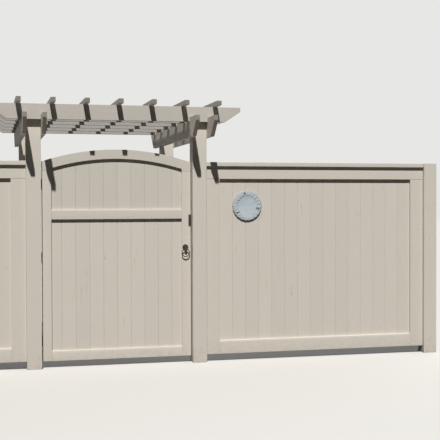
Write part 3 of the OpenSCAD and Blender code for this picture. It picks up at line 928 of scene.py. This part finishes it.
HINGE_HEIGHTS = (0.250, 1.050, 1.750)
HINGE_SCREWS = ((-0.036, -0.826), (0, -0.808), (0.036, -0.826))
ROSE_ANGLES, ROSE_CIRCLE = (40, 140, 212, 328), 0.0215
LEAF, ROSE, PLATE_END, MOST_TURN = 0.003, 0.006, 0.014, 3
LEAF_SCREW, ROSE_SCREW, PLATE_SCREW = (0.0042, 0.0003), (0.0032, 0.0003), (0.0042, 0.0005)
post_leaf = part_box("post_hinge_leaves")[0].x + LEAF
gate_heads, frame_heads = [], []
for height in HINGE_HEIGHTS:
    for rise, y in HINGE_SCREWS:
        z = height + rise
        frame_heads += screw((post_leaf, y, z), (1, 0, 0), LEAF_SCREW, MOST_TURN)
        gate_heads += screw((-HALF - LEAF, y, z), (-1, 0, 0), LEAF_SCREW, MOST_TURN)
for angle in ROSE_ANGLES:
    a = math.radians(angle)
    x, z = SPINDLE.x + ROSE_CIRCLE * math.cos(a), SPINDLE.z + ROSE_CIRCLE * math.sin(a)
    gate_heads += screw((x, FACE - ROSE, z), (0, -1, 0), ROSE_SCREW, MOST_TURN)
plate_low, plate_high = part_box("guard_plate")
x, middle = (plate_low.x + plate_high.x) / 2, (plate_low.z + plate_high.z) / 2
for z in (plate_low.z + PLATE_END, middle, plate_high.z - PLATE_END):
    gate_heads += screw((x, plate_low.y, z), (0, -1, 0), PLATE_SCREW, MOST_TURN)
piece("gate_iron_screws", gate_heads, IRON_PAINT, "gate")
piece("post_iron_screws", frame_heads, IRON_PAINT, "frame")
print((len(gate_heads) + len(frame_heads)) // 3, "iron screws")

# %% [markdown]
# ## Ring
#
# The ring is built again as a forged ring: its bar swells towards the foot, where it is
# gripped, and thins a little at the top, where it has worn in the boss. Blender's own torus has
# a bar of one thickness all round, so this one is drawn ring by ring.

# %% Ring
THINNEST = 0.90


def forged_ring(centre, radius, bar, around=96, across=20):
    """A ring whose bar is thickest at its foot."""
    solid = bmesh.new()
    solid.faces.layers.float.new("edge")
    rings = []
    for i in range(around):
        a = math.tau * i / around
        swell = 0.5 - 0.5 * math.cos(a)
        thick = bar / 2 * (THINNEST + (1 - THINNEST) * swell)
        spine = radius + (bar / 2 - thick)
        ring = []
        for k in range(across):
            b = math.tau * k / across
            reach = spine + thick * math.cos(b)
            ring.append(solid.verts.new((centre.x + reach * math.sin(a),
                                         centre.y + thick * math.sin(b),
                                         centre.z + reach * math.cos(a))))
        rings.append(ring)
    for i in range(around):
        for k in range(across):
            solid.faces.new((rings[i - 1][k - 1], rings[i - 1][k], rings[i][k], rings[i][k - 1]))
    bmesh.ops.recalc_face_normals(solid, faces=solid.faces)
    return solid


ring_low, ring_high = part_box("handle_ring")
RING_BAR = ring_high.y - ring_low.y
ring = forged_ring((ring_low + ring_high) / 2, (ring_high.x - ring_low.x - RING_BAR) / 2, RING_BAR)
piece("pull_ring", [ring], IRON_PAINT, "ring", ["handle_ring"])
print("ring", round(ring_high.x - ring_low.x, 3), "across, bar", round(RING_BAR, 4))

# %% [markdown]
# ## Relief of the plaque
#
# The plaque is a shallow dish with a plain wreath of leaves round its field, cast in one piece.
# The leaves stand in pairs on a stem, and three short gaps divide the wreath. The heights come
# from one formula. A sculpted mesh or an image of heights would do as well, but a formula needs
# no file and keeps every leaf alike.

# %% Relief of the plaque
plaque_low, plaque_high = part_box("plaque")
PLAQUE_RADIUS = (plaque_high.x - plaque_low.x) / 2
PLAQUE_DEPTH = plaque_high.y - plaque_low.y
LEAVES, LEAF_WIDTH, LEAN_BACK = 22, 0.56, 0.6
VEIN_DEPTH, VEIN_WIDTH, STEM_HEIGHT, STEM_WIDTH = 0.16, 0.07, 0.45, 0.09
WREATH_MIDDLE, WREATH_HALF = 0.78, 0.17
BREAKS = [math.radians(angle) for angle in (-12, 108, 232)]
BREAK_HALF, BREAK_EDGE = 0.10, 0.105
FIELD_DROP, DISH, ROUNDED, EDGE_START = 0.0165, 0.0075, 0.006, 0.93


def hump(distance, width):
    """A round-topped hump that falls to nothing at its width."""
    return math.sqrt(1 - (distance / width) ** 2) if abs(distance) < width else 0.0


def wreath(r, angle):
    """How high the casting stands at a place, from -1 in a gap to 1; r is a share of the radius."""
    across = (r - WREATH_MIDDLE) / WREATH_HALF
    if abs(across) >= 1:
        return 0.0
    place = (angle / math.tau * LEAVES - LEAN_BACK * abs(across)) % 1 - 0.5
    fullness = 0.5 + 0.5 * math.sin(math.pi * min(1, abs(across) + 0.2))
    width = LEAF_WIDTH * (1 - abs(across)) ** 0.5 * fullness
    leaf = hump(place, width) * (0.72 + 0.28 * math.cos(2 * across))
    leaf = leaf - VEIN_DEPTH * hump(place, VEIN_WIDTH)
    stem = STEM_HEIGHT * hump(across, STEM_WIDTH)
    away = min(abs((angle - gap + math.pi) % math.tau - math.pi) for gap in BREAKS)
    kept = min(1.0, (away / BREAK_EDGE) ** 4)
    return max(leaf, stem, 0.0) * kept - hump(away, BREAK_HALF) * hump(across, 0.8)


def dish(r):
    """The plain casting's thickness at a place, with its rounded outer edge."""
    past = max(0.0, (r - EDGE_START) / (1 - EDGE_START))
    return PLAQUE_DEPTH - FIELD_DROP + DISH * r ** 2 - ROUNDED * past ** 2


print("plaque", round(2 * PLAQUE_RADIUS, 3), "across,", round(dish(0), 4), "thick in its middle")

# %% [markdown]
# ## Mesh of the plaque
#
# A polar grid follows the round wreath better than a square one, so every leaf gets the same
# number of points. The rim is very slightly scalloped, once for each pair of leaves. The mesh
# also stores its relief for the casting's colours. On the rim it stores the height of the leaves'
# feet, so that the rim is painted as dark as they are.

# %% Mesh of the plaque
RELIEF, SCALLOP, RIM, RIM_RELIEF = 0.0039, 0.016, 0.94, 0.2
CAST_CREASE = math.radians(55)


def round_plaque(around=528, steps=80):
    """The plaque as a polar grid, with its relief and a flat back."""
    x, z = (plaque_low.x + plaque_high.x) / 2, (plaque_low.z + plaque_high.z) / 2
    y = plaque_high.y
    points, faces, relief = [(x, y - dish(0), z)], [], [0.0]
    waves = [0.5 + 0.5 * math.cos(k / around * math.tau * LEAVES) for k in range(around)]
    reach = [1 - SCALLOP * wave for wave in waves]
    for i in range(1, steps + 1):
        r = i / steps
        for k in range(around):
            angle = math.tau * k / around
            raised = wreath(r, angle)
            out = r * reach[k] * PLAQUE_RADIUS
            points.append((x + out * math.sin(angle), y - dish(r) - RELIEF * raised,
                           z + out * math.cos(angle)))
            # The rim gets the value of the leaves' feet, which paints it darker
            relief.append(RIM_RELIEF if r > RIM else raised)
    back = len(points)
    for k in range(around):
        angle, out = math.tau * k / around, reach[k] * PLAQUE_RADIUS
        points.append((x + out * math.sin(angle), y, z + out * math.cos(angle)))
        relief.append(RIM_RELIEF)
    for k in range(around):
        n = (k + 1) % around
        faces.append((0, 1 + k, 1 + n))
        for i in range(steps - 1):
            one, two = 1 + i * around, 1 + (i + 1) * around
            faces.append((one + k, two + k, two + n, one + n))
        last = 1 + (steps - 1) * around
        faces.append((last + k, back + k, back + n, last + n))
    faces.append(tuple(range(back, back + around))[::-1])
    mesh = bpy.data.meshes.new("wreath_plaque")
    mesh.from_pydata(points, [], faces)
    mesh.attributes.new("relief", "FLOAT", "POINT").data.foreach_set("value", relief)
    mesh.shade_smooth()
    mesh.set_sharp_from_angle(angle=CAST_CREASE)
    mesh.materials.append(CAST_FINISH)
    aligned = bmesh.new()
    aligned.from_mesh(mesh)
    bmesh.ops.recalc_face_normals(aligned, faces=aligned.faces)
    aligned.to_mesh(mesh)
    aligned.free()
    return mesh


plaque = bpy.data.objects.new("wreath_plaque", round_plaque())
scene.collection.objects.link(plaque)
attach(plaque, "frame")
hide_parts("plaque")
print("plaque with", len(plaque.data.polygons), "faces")

# %% [markdown]
# ## Sizes, and the end
#
# The dressed gate's box is written down. Only the heads of the screws in the purlins stand out of
# the CAD part's box, by about half a millimetre.

# %% Sizes, and the end
low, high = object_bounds()
print("dressed box from", [round(v, 3) for v in low], "to", [round(v, 3) for v in high])
